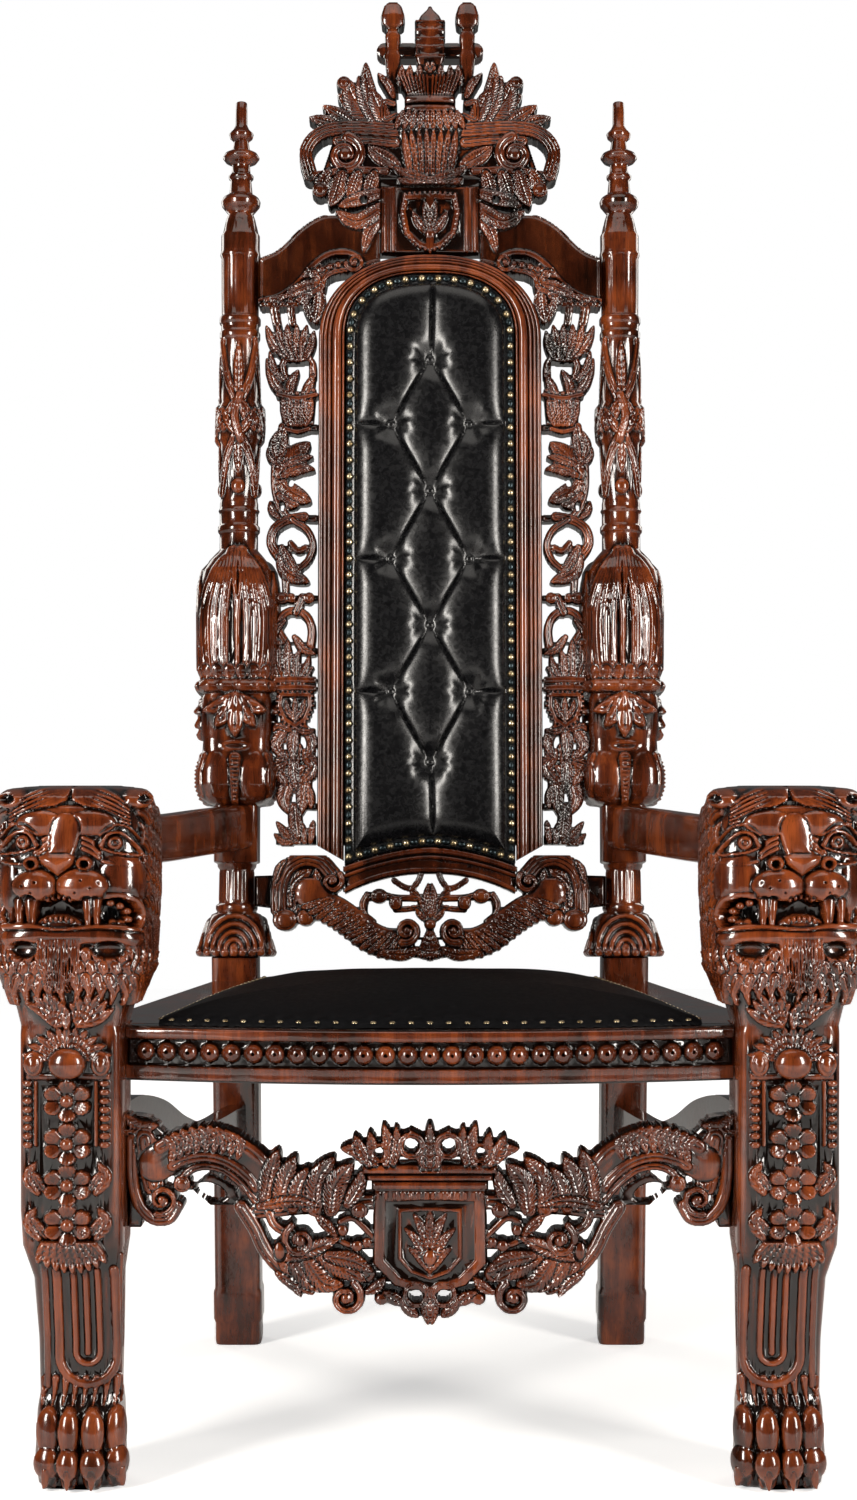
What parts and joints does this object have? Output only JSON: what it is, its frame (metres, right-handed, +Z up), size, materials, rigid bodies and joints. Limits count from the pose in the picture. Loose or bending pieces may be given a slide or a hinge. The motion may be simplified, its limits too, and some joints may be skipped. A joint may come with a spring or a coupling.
{
  "type": "carved throne armchair",
  "caption": "Tall carved armchair with an arched padded back, pierced side panels, a crowned crest, lion-head front legs that carry the arms, and a pierced front stretcher.",
  "frame": {"origin": "on the floor, under the middle of the whole", "axes": "+Z up, the sitter faces -Y, +X to the right as seen from the front"},
  "size_m": [0.94, 0.8056, 1.8317],
  "materials": {
    "mahogany": "high gloss dark red-brown varnish over carved wood",
    "leather": "smooth black leather, buttoned, with a soft sheen",
    "back_cloth": "plain black lining cloth, dull"
  },
  "bodies": {
    "root": {"lion_leg_left": "mahogany", "lion_leg_right": "mahogany", "back_post_left": "mahogany", "back_post_right": "mahogany", "arm_left": "mahogany", "arm_right": "mahogany", "seat_rail_side_left": "mahogany", "seat_rail_side_right": "mahogany", "side_stretcher_left": "mahogany", "side_stretcher_right": "mahogany", "seat_rail_front": "mahogany", "seat_rail_back": "mahogany", "front_stretcher": "mahogany", "seat_cushion": "leather", "back_stile_left": "mahogany", "back_stile_right": "mahogany", "fretwork_left": "mahogany", "fretwork_right": "mahogany", "shoulder_board_left": "mahogany", "shoulder_board_right": "mahogany", "back_arch": "mahogany", "back_bottom_rail": "mahogany", "back_apron": "mahogany", "crest_carving": "mahogany", "back_cushion": "leather", "back_board": "back_cloth"}
  },
  "joints": []
}
